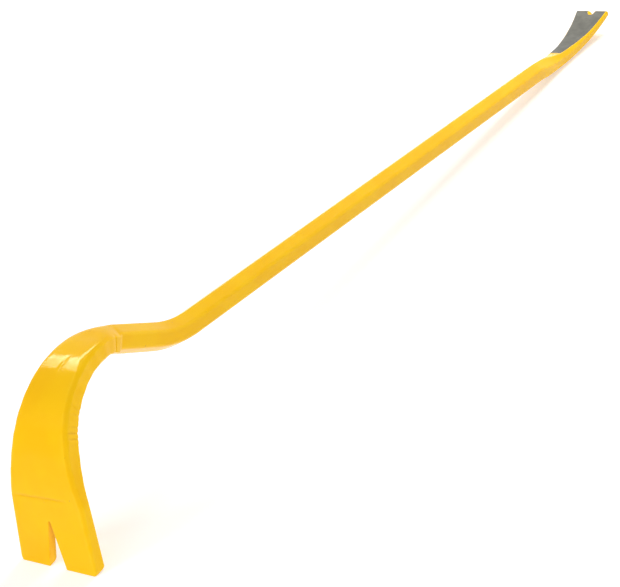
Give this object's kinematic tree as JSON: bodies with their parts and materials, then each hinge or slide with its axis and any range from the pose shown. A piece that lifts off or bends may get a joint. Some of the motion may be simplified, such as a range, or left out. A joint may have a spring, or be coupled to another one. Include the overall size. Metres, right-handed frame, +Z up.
{
  "type": "gooseneck wrecking bar",
  "caption": "Yellow hexagonal pry bar with a broad forged nail-pulling claw on a bent gooseneck at one end and a flat upturned chisel blade with a nail notch at the other.",
  "frame": {"origin": "the middle of the footprint at floor level, with the bar standing as it does on a floor, on the claw's tips and the blade's heel", "axes": "+X along the bar towards the chisel blade, +Y across it, +Z up from the floor; the bar is symmetric about the XZ plane"},
  "size_m": [0.914, 0.0628, 0.1255],
  "materials": {
    "claw_paint": "gloss",
    "weld_paint": "gloss",
    "shank_paint": "gloss",
    "blade_paint": "gloss, with the concave face ground to bare steel"
  },
  "bodies": {
    "root": {"claw_head": "claw_paint", "neck_weld": "weld_paint", "hex_shank": "shank_paint", "blade_weld": "weld_paint", "chisel_blade": "blade_paint"}
  },
  "joints": []
}
